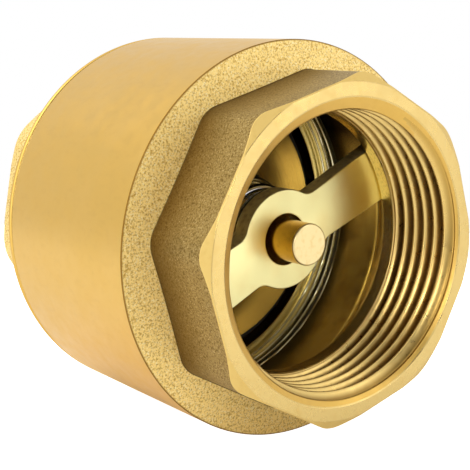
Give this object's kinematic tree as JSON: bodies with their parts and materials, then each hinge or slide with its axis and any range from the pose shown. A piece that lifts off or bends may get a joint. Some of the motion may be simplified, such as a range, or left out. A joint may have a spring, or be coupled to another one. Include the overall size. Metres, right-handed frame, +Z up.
{
  "type": "check valve",
  "caption": "In-line spring check valve with female pipe threads, octagonal spanner collars, round barrel and a sprung disc on a guided stem.",
  "frame": {"origin": "centre of the inlet end face, on the flow axis", "axes": "+X along the axis in the direction of flow, +Z up as the valve lies in the picture, +Y to the right of the flow's left hand side by the right-hand rule"},
  "size_m": [0.067, 0.066, 0.066],
  "materials": {
    "brass_body": "satin turned barrel and threads, shot-blasted forged shoulder and flats",
    "brass_adapter": "satin turned flange and threads, shot-blasted forged collar",
    "nitrile_o_ring": "smooth black nitrile",
    "stainless_spring": "drawn stainless wire",
    "brass_disc": "turned face with fine concentric lines",
    "nitrile_seal": "matt black nitrile",
    "brass_retainer": "turned",
    "brass_stem": "turned bar, faced tip",
    "stainless_washer": "plain stainless",
    "brass_nut": "turned hexagon bar"
  },
  "bodies": {
    "body": {"outlet_body": "brass_body", "inlet_adapter": "brass_adapter", "joint_o_ring": "nitrile_o_ring", "closing_spring": "stainless_spring"},
    "poppet": {"valve_disc": "brass_disc", "disc_seal": "nitrile_seal", "seal_retainer": "brass_retainer", "valve_stem": "brass_stem", "lock_washer": "stainless_washer", "retaining_nut": "brass_nut"}
  },
  "joints": [
    {"name": "disc_slide", "type": "slide", "parent": "body", "child": "poppet", "axis": [1, 0, 0], "range_m": [0, 0.01], "stiffness_N_per_m": 300, "springref_m": -0.01, "deforming": ["closing_spring"]}
  ]
}
